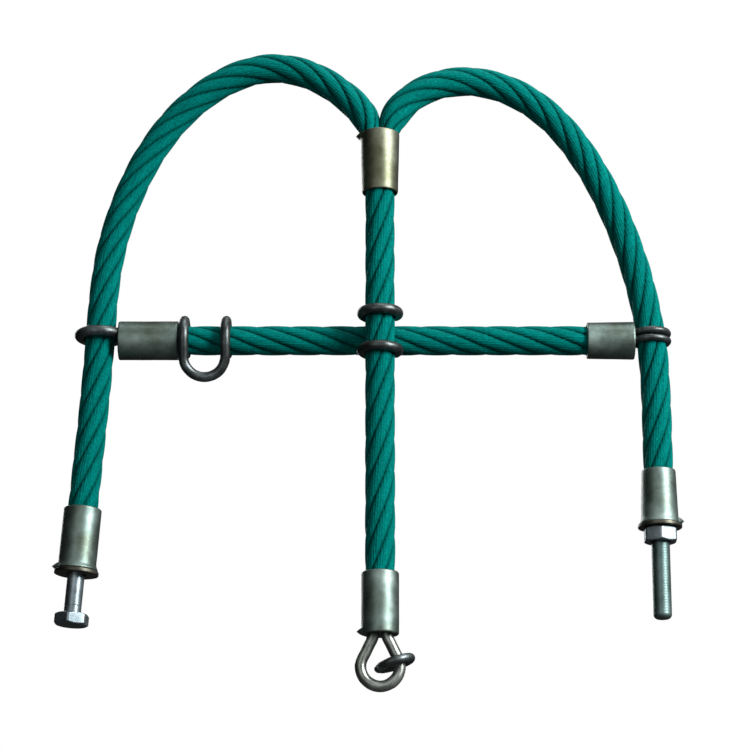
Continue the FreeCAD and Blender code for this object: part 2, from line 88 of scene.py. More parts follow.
class Solid:
    """The triangles of one CAD solid."""

    def __init__(self, points, faces):
        used, inverse = np.unique(faces, return_inverse=True)
        self.points = points[used]
        self.faces = inverse.reshape(faces.shape)
        a, b, c = (self.points[self.faces[:, i]] for i in range(3))
        normals = np.cross(b - a, c - a)
        sizes = np.linalg.norm(normals, axis=1)
        self.normals = normals / np.maximum(sizes, 1e-18)[:, None]
        self.area = sizes.sum() / 2
        self.volume = abs(np.einsum("ij,ij->i", a, np.cross(b, c)).sum() / 6)

    def ring(self, middle, heading, reach):
        """The circle where a plane cuts the solid near a point: middle, radius, normals of the cut faces."""
        side = (self.points - middle) @ heading
        sides = side[self.faces]
        cut = (sides.min(1) <= 0) & (sides.max(1) > 0)
        corners = self.points[self.faces[cut]]
        sides = sides[cut]
        crossings, owners = [], []
        for i, j in ((0, 1), (1, 2), (2, 0)):
            crosses = (sides[:, i] > 0) != (sides[:, j] > 0)
            share = sides[crosses, i] / (sides[crosses, i] - sides[crosses, j])
            start, end = corners[crosses, i], corners[crosses, j]
            crossings.append(start + share[:, None] * (end - start))
            owners.append(np.nonzero(crosses)[0])
        crossings = np.concatenate(crossings)
        owners = np.concatenate(owners)
        near = np.linalg.norm(crossings - middle, axis=1) < reach
        if near.sum() < fewest_crossings:
            return None
        first = np.cross(heading, DEEP if abs(heading @ DEEP) < 0.9 else UP)
        first /= np.linalg.norm(first)
        second = np.cross(heading, first)
        flat = np.stack([(crossings[near] - middle) @ first, (crossings[near] - middle) @ second], 1)
        system = np.column_stack([2 * flat, np.ones(len(flat))])
        u, v, rest = np.linalg.lstsq(system, (flat ** 2).sum(1), rcond=None)[0]
        turns = np.sort(np.arctan2(flat[:, 1] - v, flat[:, 0] - u))
        gaps = np.diff(np.append(turns, turns[0] + 2 * math.pi))
        if gaps.max() > widest_gap:
            return None
        radius = math.sqrt(max(rest + u * u + v * v, 0.0))
        return middle + first * u + second * v, radius, self.normals[cut][np.unique(owners[near])]

    def trace(self, middle, heading, radius, step):
        """The middles and radii of rings from here to the solid's end."""
        line, radii = [], []
        while True:
            ring = self.ring(middle + heading * step, heading, 1.1 * radius)
            if ring is None:
                break
            heading = squared(ring[2], heading)
            ring = self.ring(ring[0], heading, 1.1 * radius) or ring
            middle = ring[0]
            line.append(middle)
            radii.append(ring[1])
        near = self.points[np.linalg.norm(self.points - middle, axis=1) < 2 * radius]
        gap = ((near - middle) @ heading).max()
        line.append(middle + heading * gap)
        radii.append(radii[-1])
        return line, radii

    def middle_line(self, step_share=0.25):
        """The middle line of a bent round rod, from end to end, and its radius at each point."""
        radius = 2 * self.volume / self.area
        for face in range(len(self.faces) // 2, len(self.faces)):
            surface = self.points[self.faces[face]].mean(0)
            inward = -self.normals[face]
            first = np.cross(inward, DEEP if abs(inward @ DEEP) < 0.9 else UP)
            first /= np.linalg.norm(first)
            second = np.cross(inward, first)
            tries = []
            for angle in np.linspace(0, math.pi, 13)[:-1]:
                heading = first * math.cos(angle) + second * math.sin(angle)
                ring = self.ring(surface + inward * radius, heading, 1.3 * radius)
                if ring and abs(ring[1] - radius) < 0.2 * radius:
                    tries.append((abs(ring[1] - radius), angle, ring, heading))
            if tries:
                break
        _, _, ring, heading = min(tries, key=lambda t: t[:2])
        for _ in range(4):
            heading = squared(ring[2], heading)
            ring = self.ring(ring[0], heading, 1.2 * radius) or ring
        step = step_share * radius
        ahead, ahead_radii = self.trace(ring[0], heading, radius, step)
        behind, behind_radii = self.trace(ring[0], -heading, radius, step)
        line = np.array(behind[::-1] + [ring[0]] + ahead)
        return line, np.array(behind_radii[::-1] + [ring[1]] + ahead_radii)


def squared(normals, heading):
    """The direction square to a set of face normals, on the heading's side."""
    direction = np.linalg.svd(normals, full_matrices=False)[2][2]
    return direction if direction @ heading > 0 else -direction


def solids_of(node):
    """The separate solids of a CAD node."""
    data = frame["nodes"][node].data
    points = np.empty(len(data.vertices) * 3)
    data.vertices.foreach_get("co", points)
    data.calc_loop_triangles()
    faces = np.empty(len(data.loop_triangles) * 3, int)
    data.loop_triangles.foreach_get("vertices", faces)
    points = points.reshape(-1, 3)
    keys = np.round(points / 1e-6).astype(np.int64)
    _, first, welded = np.unique(keys, axis=0, return_index=True, return_inverse=True)
    faces = welded.reshape(-1)[faces].reshape(-1, 3)
    points = points[first]
    labels = np.arange(len(points))
    while True:
        lowest = labels.copy()
        np.minimum.at(lowest, faces.ravel(), np.repeat(labels[faces].min(1), 3))
        lowest = lowest[lowest]
        if (lowest == labels).all():
            break
        labels = lowest
    groups = labels[faces[:, 0]]
    return [Solid(points, faces[groups == g]) for g in np.unique(groups)]


def middle_of(node):
    """The middle of a CAD node's box."""
    low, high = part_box(node)
    return np.array((low + high) / 2)


def spaced(line, spacing, *others):
    """A line resampled at an even spacing, and anything measured along it resampled to match."""
    travelled = np.concatenate([[0], np.cumsum(np.linalg.norm(np.diff(line, axis=0), axis=1))])
    count = max(int(round(travelled[-1] / spacing)), 2)
    stations = np.linspace(0, travelled[-1], count + 1)
    even = np.stack([np.interp(stations, travelled, line[:, i]) for i in range(3)], 1)
    return [even, stations] + [np.interp(stations, travelled, other) for other in others]


def softened(line, passes):
    """A line with its small wiggles averaged out, its ends kept."""
    line = line.copy()
    for _ in range(passes):
        line[1:-1] = (line[:-2] + 2 * line[1:-1] + line[2:]) / 4
    return line


def along(line):
    """The unit direction of a line at each of its points."""
    steps = np.gradient(line, axis=0)
    return steps / np.linalg.norm(steps, axis=1)[:, None]


# ---- building pieces ----------------------------------------------------------------------------


class Shape:
    """Collects the points and faces of one piece."""

    def __init__(self):
        self.points, self.faces, self.marks, self.corners = [], [], [], []
        self.count = 0

    def add_rows(self, rows, looped=False, mark=None, lengths=None):
        """Skins closed rows of points. Looped rows join end to end; others get a cap at each end."""
        n, m = rows.shape[:2]
        index = self.count + np.arange(n * m).reshape(n, m)
        if looped:
            index = np.vstack([index, index[:1]])
        beside = np.roll(index, -1, axis=1)
        quads = np.stack([index[:-1], beside[:-1], beside[1:], index[1:]], -1).reshape(-1, 4)
        a = np.broadcast_to(rows[0, 0], (1, 3))
        corners = rows.reshape(-1, 3)[quads - self.count] - a
        volume = np.einsum(
            "ij,ij->i", corners[:, 0], np.cross(corners[:, 1], corners[:, 2])
        ).sum() + np.einsum("ij,ij->i", corners[:, 0], np.cross(corners[:, 2], corners[:, 3])).sum()
        if lengths is None:
            lengths = np.linspace(0, 1, n)
        u = np.append(lengths, lengths[-1]) if looped else lengths
        v = np.arange(m + 1) / m
        uv = np.zeros((len(u) - 1, m, 4, 2))
        uv[:, :, 0, 0] = uv[:, :, 1, 0] = u[:-1, None]
        uv[:, :, 2, 0] = uv[:, :, 3, 0] = u[1:, None]
        uv[:, :, 0, 1] = uv[:, :, 3, 1] = v[:-1]
        uv[:, :, 1, 1] = uv[:, :, 2, 1] = v[1:]
        uv = uv.reshape(-1, 4, 2)
        flip = volume < 0
        self.faces += [tuple(q[::-1]) if flip else tuple(q) for q in quads.tolist()]
        self.corners.append((uv[:, ::-1] if flip else uv).reshape(-1, 2))
        self.points.append(rows.reshape(-1, 3))
        # Per-point painted shade: zero unless a mark is given, as it is for the rope grooves.
        self.marks.append(np.zeros(n * m) if mark is None else mark.reshape(-1))
        self.count += n * m
        if not looped:
            for end, turned in ((0, True), (n - 1, False)):
                self.points.append(rows[end].mean(0)[None])
                self.marks.append(np.zeros(1))
                tip = self.count
                self.count += 1
                ring = index[end].tolist()
                for j in range(m):
                    face = (ring[j], ring[(j + 1) % m], tip)
                    self.faces.append(face[::-1] if turned != flip else face)
                self.corners.append(np.full((3 * m, 2), lengths[end]))

    def piece(self, name, node, sharp_degrees=40, finish=None):
        """Makes the piece that stands for a CAD node and moves with its body."""
        mesh = bpy.data.meshes.new(name)
        mesh.from_pydata(np.concatenate(self.points).tolist(), [], self.faces)
        layer = mesh.uv_layers.new(name="along")
        layer.data.foreach_set("uv", np.concatenate(self.corners).astype(np.float32).ravel())
        # The groove shade attribute carries the painted shade of the rope grooves to the material.
        groove = mesh.attributes.new("groove", "FLOAT", "POINT")
        groove.data.foreach_set("value", np.concatenate(self.marks).astype(np.float32))
        mesh.shade_smooth()
        mesh.set_sharp_from_angle(angle=math.radians(sharp_degrees))
        piece = bpy.data.objects.new(name, mesh)
        bpy.context.scene.collection.objects.link(piece)
        slot = slot_of_node[node]
        mesh.materials.append(finishes[finish or slot])
        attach(piece, body_of_node[node])
        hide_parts(node)
        return piece


def waves(points, wavelength, count=10):
    """Smooth random bumps between about -1 and 1, from plane waves that run in random directions."""
    total = np.zeros(points.shape[:-1])
    for _ in range(count):
        direction = random.normal(size=3)
        direction /= np.linalg.norm(direction)
        length = wavelength * random.uniform(0.7, 1.6)
        phase = random.uniform(0, 2 * math.pi)
        total += np.sin(points @ direction * (2 * math.pi / length) + phase)
    return total / math.sqrt(count)


def rod_rows(line, radius, end_round, sides=40):
    """Rows for a round rod along a line, its ends rounded over."""
    headings = along(line)
    first = np.cross(headings[0], DEEP if abs(headings[0] @ DEEP) < 0.9 else UP)
    rows, lengths = [], []
    turns = np.linspace(0, 2 * math.pi, sides, endpoint=False)
    travelled = np.concatenate([[0], np.cumsum(np.linalg.norm(np.diff(line, axis=0), axis=1))])
    total = travelled[-1]
    for point, heading, at in zip(line, headings, travelled):
        first = first - heading * (first @ heading)
        first /= np.linalg.norm(first)
        second = np.cross(heading, first)
        inside = min(at, total - at) / end_round
        shrink = end_round * (1 - math.sqrt(max(1 - (1 - min(inside, 1)) ** 2, 0)))
        reach = max(radius - shrink, 0.2 * radius)
        rows.append(point + reach * (np.outer(np.cos(turns), first) + np.outer(np.sin(turns), second)))
        lengths.append(at)
    return np.array(rows), np.array(lengths)


def finely_ended(line, end_round):
    """A line with extra points near both ends, so that the rounding there is smooth."""
    travelled = np.concatenate([[0], np.cumsum(np.linalg.norm(np.diff(line, axis=0), axis=1))])
    extra = end_round * (1 - np.cos(np.linspace(0, math.pi / 2, 7)))
    inner = travelled[(travelled > end_round) & (travelled < travelled[-1] - end_round)]
    stations = np.concatenate([extra, inner, travelled[-1] - extra[::-1]])
    return np.stack([np.interp(stations, travelled, line[:, i]) for i in range(3)], 1)


rod_spacing = 0.5 * MM
rod_bump_spacing = 7 * MM
rod_bump_size = 0.05 * MM
rod_end_round = 0.9 * MM


def build_rod(node, finish=None):
    """The bent rods of a node, drawn round and a little uneven."""
    shape = Shape()
    for solid in solids_of(node):
        line, radii = solid.middle_line()
        radius = np.median(radii)
        line, _ = spaced(softened(line, 2), rod_spacing)
        rows, lengths = rod_rows(finely_ended(line, rod_end_round), radius, rod_end_round)
        middles = rows.mean(1, keepdims=True)
        outward = (rows - middles) / np.linalg.norm(rows - middles, axis=2, keepdims=True)
        rows = rows + outward * (waves(rows, rod_bump_spacing) * rod_bump_size)[..., None]
        shape.add_rows(rows, lengths=lengths)
    return shape.piece(node + "_drawn", node, finish=finish)


# ---- ropes --------------------------------------------------------------------------------------

rope_spacing = 1.2 * MM  # between a strand's rows of points
lay_lengths = np.arange(80, 150, 0.25) * MM  # tried against the CAD strands, to find their own
points_skipped = 7  # one in so many of the CAD strands' points is enough for that
nearly_all = 99.5  # per cent of those points lie within the rope's radius
strand_count = 6
strand_fullness = 0.99  # of the width that each strand has between its neighbours
groove_depth = 1.0 * MM
groove_sharpness = 3.2
groove_start = 0.4  # where the painted groove shade starts, as a share of the way from a strand's crown to its neighbour
core_side_share = 0.38  # of the rope's radius
swell_share = 0.012  # how much a strand's thickness comes and goes along it
swell_length = 23 * MM
swell_shift = 1.7
yarns_per_strand = 12
points_per_yarn = 4
yarn_height = 0.1 * MM
yarn_slant = 160.0  # radians that the yarns turn round their strand in a metre
yarn_difference = 0.35  # between thick and thin yarns, as a share of their height
mouth_depth_share = 0.92  # how far the ropes are squeezed in a ferrule's mouth, front to back
mouth_width_share = 0.55  # and from side to side


def rope_axis(name, start_node):
    """A rope's middle line from its start, with how squeezed it is at each point."""
    core = solids_of(name + "_core")[0]
    line, radii = core.middle_line(step_share=0.8)
    if np.linalg.norm(line[0] - middle_of(start_node)) > np.linalg.norm(line[-1] - middle_of(start_node)):
        line, radii = line[::-1], radii[::-1]
    line, stations, radii = spaced(line, rope_spacing, radii)
    freedom = np.clip((radii / np.median(radii) - mouth_width_share) / (1 - mouth_width_share), 0, 1)
    freedom = np.convolve(np.pad(freedom, 4, "edge"), np.ones(9) / 9, "valid")
    return softened(line, 24), stations, freedom


def lay_of(node, line, side, flat, stations):
    """How a CAD rope's strands wind: radians per metre and the angle they start at. Also the radius of
    one strand and of the rope."""
    solids = solids_of(node)
    points = np.concatenate([solid.points for solid in solids])[::points_skipped]
    nearest = np.array([np.argmin(((line - p) ** 2).sum(1)) for p in points])
    offset = points - line[nearest]
    angles = np.arctan2((offset * flat[nearest]).sum(1), (offset * side[nearest]).sum(1))
    reach = np.linalg.norm(offset, axis=1)
    weights = reach - reach.mean()
    best = (0, 0, 0)
    for lay in lay_lengths:
        spun = strand_count * (angles - 2 * math.pi * stations[nearest] / lay)
        total = (weights * np.exp(1j * spun)).sum()
        best = max(best, (abs(total), 2 * math.pi / lay, np.angle(total) / strand_count))
    radius = np.mean([2 * solid.volume / solid.area for solid in solids])
    return best[1], best[2], radius, np.percentile(reach, nearly_all)


def strand_outline(rope_radius, ring_radius, lean):
    """Half a packed strand's outline, from its crown round to its back: the direction of each point
    from the strand's middle, how far off it is, and how deep in the groove it lies, from 0 to 1.
    That depth sets the shade painted into the groove."""
    crown_points = 40
    side_points = 20
    half = math.pi / strand_count
    turns = np.linspace(0, half, crown_points)
    crown = rope_radius - groove_depth * (turns / half) ** groove_sharpness
    inner = core_side_share * rope_radius
    side = np.linspace(crown[-1], inner, side_points)
    across = np.concatenate([turns, np.full(side_points, half), turns[::-1]])
    reach = np.concatenate([crown, side, np.full(crown_points, inner)])
    # Painted shade: none on the crown, rising towards the groove, full on the strand's hidden sides and back.
    crown_shade = np.clip((turns / half - groove_start) / (1 - groove_start), 0, 1)
    depth = np.concatenate([crown_shade, np.ones(side_points + crown_points)])
    out = reach * np.cos(across) - ring_radius
    wide = reach * np.sin(across) * strand_fullness * lean
    return np.arctan2(wide, out), np.hypot(wide, out), depth


def build_rope(name, start_node):
    """A laid rope: strands wound round the core, each covered in twisted yarns."""
    line, stations, freedom = rope_axis(name, start_node)
    ahead = along(line)
    side = DEEP - ahead * (ahead @ DEEP)[:, None]
    side /= np.linalg.norm(side, axis=1)[:, None]
    flat = np.cross(ahead, side)
    lay = lay_of(name + "_strands", line, side, flat, stations)
    turn_rate, start_angle, strand_radius, rope_radius = lay
    ring_radius = rope_radius - strand_radius
    deep_scale = (mouth_depth_share + (1 - mouth_depth_share) * freedom)[:, None]
    across_scale = (mouth_width_share + (1 - mouth_width_share) * freedom)[:, None]
    lean = math.cos(math.atan(ring_radius * turn_rate))
    directions, outline, groove_shades = strand_outline(rope_radius, ring_radius, lean)
    columns = yarns_per_strand * points_per_yarn
    column_angles = 2 * math.pi * np.arange(columns) / columns
    shape = Shape()
    for strand in range(strand_count):
        angle = (start_angle + 2 * math.pi * strand / strand_count + turn_rate * stations)[:, None]
        offset = side * deep_scale * np.cos(angle) + flat * across_scale * np.sin(angle)
        middle = line + ring_radius * offset
        heading = along(middle)
        outward = side * np.cos(angle) + flat * np.sin(angle)
        outward -= heading * (outward * heading).sum(1)[:, None]
        outward /= np.linalg.norm(outward, axis=1)[:, None]
        around = np.cross(heading, outward)
        twist = column_angles[None, :] - yarn_slant * stations[:, None]
        twist = twist + random.uniform(0, 2 * math.pi)
        folded = np.abs((twist + math.pi) % (2 * math.pi) - math.pi)
        fullness = np.interp(folded, directions, outline)
        swell_phase = stations[:, None] * 2 * math.pi / swell_length + strand * swell_shift
        swell = 1 + swell_share * np.sin(swell_phase)
        yarn = 1 + yarn_height / strand_radius * np.cos(yarns_per_strand * column_angles)[None, :]
        thickness = random.uniform(-yarn_difference, yarn_difference, yarns_per_strand)
        yarn = yarn + yarn_height / strand_radius * thickness.repeat(points_per_yarn)[None, :]
        size = fullness * across_scale * swell * yarn
        rows = middle[:, None] + outward[:, None] * (size * np.cos(twist))[..., None]
        rows = rows + around[:, None] * (size * np.sin(twist))[..., None]
        # Painted shade for the grooves between strands, read by the rope's material.
        groove = np.interp(folded, directions, groove_shades)
        shape.add_rows(rows, mark=groove, lengths=stations + strand)
    return shape.piece(name + "_yarns", name + "_strands", sharp_degrees=180)


# ---- turned pieces ------------------------------------------------------------------------------


def rounded(corners, radius, steps=5):
    """A closed outline with its corners rounded. corners is (corner, angle, (reach, height))."""
    outline = []
    for i, corner in enumerate(corners):
        before = corners[i - 1] - corner
        after = corners[(i + 1) % len(corners)] - corner
        ends = []
        for leg in (before, after):
            size = np.linalg.norm(leg, axis=-1, keepdims=True)
            ends.append(corner + leg * np.minimum(radius / np.maximum(size, 1e-9), 0.45))
        for t in np.linspace(0, 1, steps):
            outline.append((1 - t) ** 2 * ends[0] + 2 * t * (1 - t) * corner + t * t * ends[1])
    return np.array(outline)


def divided(outline, spacing):
    """A closed outline with points added along its long straight stretches."""
    points = []
    for here, there in zip(outline, np.roll(outline, -1, axis=0)):
        count = max(int(math.ceil(np.linalg.norm(there - here, axis=-1).max() / spacing)), 1)
        points += [here + (there - here) * i / count for i in range(count)]
    return np.array(points)


def lathe(outline, base, axis, angles):
    """Rows of points from an outline of (reach, height) round an axis."""
    first = np.cross(axis, DEEP)
    first /= np.linalg.norm(first)
    second = np.cross(axis, first)
    round_it = np.outer(np.cos(angles), first) + np.outer(np.sin(angles), second)
    return base + outline[..., :1] * round_it + outline[..., 1:] * axis


def axis_angle(axis, direction):
    """Where a direction lies round the lathe's axis."""
    first = np.cross(axis, DEEP)
    first /= np.linalg.norm(first)
    second = np.cross(axis, first)
    return math.atan2(direction @ second, direction @ first)


def measured(node, base, axis):
    """How far every point of a CAD node lies from an axis, and how far along it from a base."""
    points = np.concatenate([solid.points for solid in solids_of(node)]) - base
    height = points @ axis
    return np.linalg.norm(points - np.outer(height, axis), axis=1), height


def heights(node, base, axis):
    """The lowest and highest points of a CAD node along an axis, measured from a base."""
    _, height = measured(node, base, axis)
    return height.min(), height.max()


def reaches(node, base, axis, at, band=1.5 * MM, same=0.02 * MM, enough=40):
    """The inner and outer radius of a CAD node near a height along an axis, ignoring anything narrow."""
    reach, height = measured(node, base, axis)
    near = np.sort(reach[np.abs(height - at) < band])
    round_ones = near[[np.count_nonzero(np.abs(near - r) < same) >= enough for r in near]]
    return round_ones[0], round_ones[-1]


foot_axis = np.array(joints["bolt_travel"]["axis"])
foot_axis /= np.linalg.norm(foot_axis)
left_foot_base = middle_of("left_washer")
right_foot_base = middle_of("right_washer")

ferrule_spacing = 0.45 * MM  # between the rows of points along a ferrule
ferrule_wall = 1.6 * MM  # round the plug of a closed end
rim_round = 1.1 * MM
plug_depth = 0.9 * MM  # how far the plug sits inside a closed end
plug_hole = 0.3 * MM
flare_height = 2.0 * MM
dent_size = 0.03 * MM
dent_spacing = 14 * MM
seam_height = 0.1 * MM
seam_width = 0.45 * MM
ear_height = 3.4 * MM
ear_width = 8.0 * MM
ear_reach = 2.7 * MM


def plugged_end(radius, bore):
    """The outline of a ferrule's closed end, from its rim in to its bore: (reach, depth below the rim)."""
    inside = radius - ferrule_wall
    return [
        (inside, 0), (inside - 0.5 * MM, plug_depth), (plug_hole, plug_depth),
        (plug_hole, 3 * plug_depth), (bore, 3 * plug_depth),
    ]


def build_ferrule(node, base, axis, ear_side, ear_at_top, closed_end=None, flare=0.0, finish=None):
    """A pressed sleeve: rounded rims, a faint seam down both sides, small dents and a squeezed-out ear."""
    low, high = heights(node, base, axis)
    low_bore, low_radius = reaches(node, base, axis, low)
    high_bore, high_radius = reaches(node, base, axis, high)
    bore = low_bore if closed_end == "high" else high_bore
    length = high - low
    angles = np.linspace(0, 2 * math.pi, 200, endpoint=False)
    corners = [(low_radius, 0), (high_radius, length)]
    if closed_end == "high":
        corners += [(reach, length - depth) for reach, depth in plugged_end(high_radius, bore)]
    else:
        corners += [(bore, length)]
    if closed_end == "low":
        corners += plugged_end(low_radius, bore)[::-1]
    else:
        corners += [(bore, 0)]
    corners = np.array(corners)[:, None, :].repeat(len(angles), 1)
    outline = divided(rounded(corners, rim_round), ferrule_spacing)
    rows = lathe(outline, base + axis * low, axis, angles)
    reach, height = outline[..., 0], outline[..., 1]
    dented_from = min(low_radius, high_radius) - 2.2 * MM
    outer = np.clip((reach - dented_from) / (1.2 * MM), 0, 1)
    push = waves(rows, dent_spacing) * dent_size + flare * np.exp(-((height / flare_height) ** 2))
    ear_angle = axis_angle(axis, ear_side)
    from_ear = (angles - ear_angle + math.pi) % (2 * math.pi) - math.pi
    for seam in (from_ear, (from_ear + math.pi + math.pi) % (2 * math.pi) - math.pi):
        push = push + seam_height * np.exp(-((seam * high_radius) / seam_width) ** 2)[None, :]
    if ear_at_top is not None:
        middle = length - ear_height / 2 if ear_at_top else ear_height / 2
        beside = 1 - np.abs(from_ear) * high_radius / (ear_width / 2)
        above = 1 - np.abs(height - middle) / (ear_height / 2)
        push = push + ear_reach * np.clip(np.minimum(beside[None, :], above), 0, 1) ** 0.9
    outward = rows - (base + (rows - base) @ axis[:, None] * axis)
    outward /= np.maximum(np.linalg.norm(outward, axis=2, keepdims=True), 1e-9)
    rows = rows + outward * (push * outer)[..., None]
    shape = Shape()
    shape.add_rows(rows, looped=True, lengths=np.linspace(0, 1, len(rows)))
    return shape.piece(node + "_pressed", node, sharp_degrees=55, finish=finish)


def build_washer(node, base, axis):
    """A punched flat washer with soft edges, not quite flat."""
    edge_round = 0.35 * MM
    warp_size = 0.02 * MM
    warp_spacing = 6 * MM
    low, high = heights(node, base, axis)
    bore, radius = reaches(node, base, axis, (low + high) / 2)
    angles = np.linspace(0, 2 * math.pi, 120, endpoint=False)
    corners = np.array([(bore, 0), (radius, 0), (radius, high - low), (bore, high - low)])
    corners = corners[:, None, :].repeat(len(angles), 1)
    rows = lathe(divided(rounded(corners, edge_round), 0.6 * MM), base + axis * low, axis, angles)
    shape = Shape()
    shape.add_rows(rows + waves(rows, warp_spacing)[..., None] * axis * warp_size, looped=True)
    return shape.piece(node + "_punched", node, finish="washer_plating")


corner_softness = 0.35 * MM
corner_sharp_share = 0.25  # of what sticks out past the softened corner
bevel_face_share = 0.945  # how far out a hexagon's bevel starts, as a share of half its width
bevel_angle = math.radians(30)
thread_sharpness = 1.3


def hex_reach(angles, half_flats):
    """How far a hexagon reaches at each angle, its corners slightly rounded."""
    from_flat = (angles % (math.pi / 3)) - math.pi / 6
    sharp = half_flats / np.cos(from_flat)
    limit = half_flats / math.cos(math.pi / 6) - corner_softness
    return np.minimum(sharp, limit + corner_sharp_share * (sharp - limit))


def hex_corners(angles, half_flats, height):
    """The outer outline of a bevelled hexagon at each angle, from the middle of one face to the other."""
    reach = hex_reach(angles, half_flats)
    face = bevel_face_share * half_flats
    drop = np.maximum(reach - face, 0.05 * MM) * math.tan(bevel_angle)
    flat = np.full_like(reach, face)
    return [
        np.stack([flat, np.zeros_like(reach)], -1), np.stack([reach, drop], -1),
        np.stack([reach, height - drop], -1), np.stack([flat, np.full_like(reach, height)], -1),
    ]


def hex_angles(axis, node, base):
    """The angle of one corner of a hexagon, read from its CAD mesh, and the angles to draw it at."""
    points = np.concatenate([solid.points for solid in solids_of(node)])
    flat = points - base
    flat = flat - np.outer(flat @ axis, axis)
    far = flat[np.argmax(np.linalg.norm(flat, axis=1))]
    return axis_angle(axis, far), np.linspace(0, 2 * math.pi, 240, endpoint=False)


def ring_corner(reach, height, angles):
    """A corner of a turned outline, the same at every angle."""
    return np.stack([np.full_like(angles, reach), np.full_like(angles, height)], -1)


def thread(rows_height, angles, start, end, depth):
    """How far a screw thread pulls the surface in at each height and angle, fading out at both ends."""
    turns = (rows_height / thread_pitch - angles[None, :] / (2 * math.pi)) % 1
    cut = np.abs(turns * 2 - 1) ** thread_sharpness
    fade_in = np.clip((rows_height - start) / thread_pitch, 0, 1)
    fade_out = np.clip((end - rows_height) / thread_pitch, 0, 1)
    return -depth * cut * fade_in * fade_out


def build_bolt(node, base, axis):
    """A hexagon bolt: bevelled and dished head, plain shank with a die mark, and thread above it."""
    dish = 0.12 * MM
    middle_gap = 0.4 * MM
    neck_round = 0.25 * MM
    neck_height = 0.35 * MM
    tip_height = 1.0 * MM
    tip_bevel = 0.9 * MM
    edge_round = 0.3 * MM
    mark_height = 4.0 * MM
    mark_width = 0.22 * MM
    mark_depth = 0.1 * MM
    thread_length = 15 * MM
    thread_depth = 0.45 * MM
    corner, angles = hex_angles(axis, node, base)
    low, high = heights(node, base, axis)
    foot = base + axis * low
    length = high - low
    reach, height = measured(node, foot, axis)
    shank = np.median(reach[height > 0.6 * length])
    head = height[reach > 1.3 * shank].max()
    half_flats = reach.max() * math.cos(math.pi / 6)
    corners = [ring_corner(middle_gap, dish, angles)] + hex_corners(angles - corner, half_flats, head)
    for r, h in (
        (shank + neck_round, head), (shank, head + neck_height), (shank, length - tip_height),
        (shank - tip_bevel, length), (middle_gap, length),
    ):
        corners.append(ring_corner(r, h, angles))
    outline = divided(rounded(np.array(corners), edge_round), 0.28 * MM)
    from_mark = outline[..., 1] - head - mark_height
    mark = -mark_depth * np.exp(-((from_mark / mark_width) ** 2))
    cut = thread(outline[..., 1], angles, length - thread_length, length + 9 * MM, thread_depth)
    on_shank = (outline[..., 0] > 0.8 * shank) & (outline[..., 1] > head + 0.4 * MM)
    outline[..., 0] += np.where(on_shank, cut + mark, 0)
    rows = lathe(outline, foot, axis, angles)
    shape = Shape()
    shape.add_rows(rows[2:])
    return shape.piece(node + "_forged", node, sharp_degrees=24)


def build_nut(node, base, axis):
    """A hexagon nut, bevelled on both faces, with its thread inside."""
    lead = 0.6 * MM
    edge_round = 0.3 * MM
    thread_depth = 0.25 * MM
    corner, angles = hex_angles(axis, node, base)
    low, high = heights(node, base, axis)
    foot = base + axis * low
    height = high - low
    reach, _ = measured(node, foot, axis)
    bore = reach.min()
    half_flats = reach.max() * math.cos(math.pi / 6)
    corners = hex_corners(angles - corner, half_flats, height)
    for r, h in ((bore + lead, height), (bore, height - lead), (bore, lead), (bore + lead, 0)):
        corners.append(ring_corner(r, h, angles))
    outline = divided(rounded(np.array(corners), edge_round), 0.3 * MM)
    inside = outline[..., 0] < bore + 0.1 * MM
    outline[..., 0] += np.where(inside, -thread(outline[..., 1], angles, 0, height, thread_depth), 0)
    rows = lathe(outline, foot, axis, angles)
    shape = Shape()
    shape.add_rows(rows, looped=True)
    return shape.piece(node + "_forged", node, sharp_degrees=24)


def build_stud(node, base, axis):
    """A threaded stud with a rounded end, its thread worn nearly smooth under thick plating."""
    middle_gap = 0.3 * MM
    tip_bevel = 1.5 * MM
    tip_height = 1.6 * MM
    edge_round = 1.3 * MM
    thread_depth = 0.05 * MM
    low, high = heights(node, base, axis)
    foot = base + axis * low
    length = high - low
    reach, _ = measured(node, foot, axis)
    radius = reach.max()
    angles = np.linspace(0, 2 * math.pi, 96, endpoint=False)
    corners = [
        (middle_gap, 0), (radius - tip_bevel, 0), (radius, tip_height),
        (radius, length), (middle_gap, length),
    ]
    corners = np.array(corners)[:, None, :].repeat(len(angles), 1)
    outline = divided(rounded(corners, edge_round, steps=9), 0.19 * MM)
    on_side = outline[..., 0] > 0.97 * radius
    cut = thread(outline[..., 1], angles, 1.4 * MM, length, thread_depth)
    outline[..., 0] += np.where(on_side, cut, 0)
    rows = lathe(outline, foot, axis, angles)
    shape = Shape()
    shape.add_rows(rows, looped=True)
    return shape.piece(node + "_rolled", node, sharp_degrees=50, finish="stud_plating")


# ---- finishes -----------------------------------------------------------------------------------


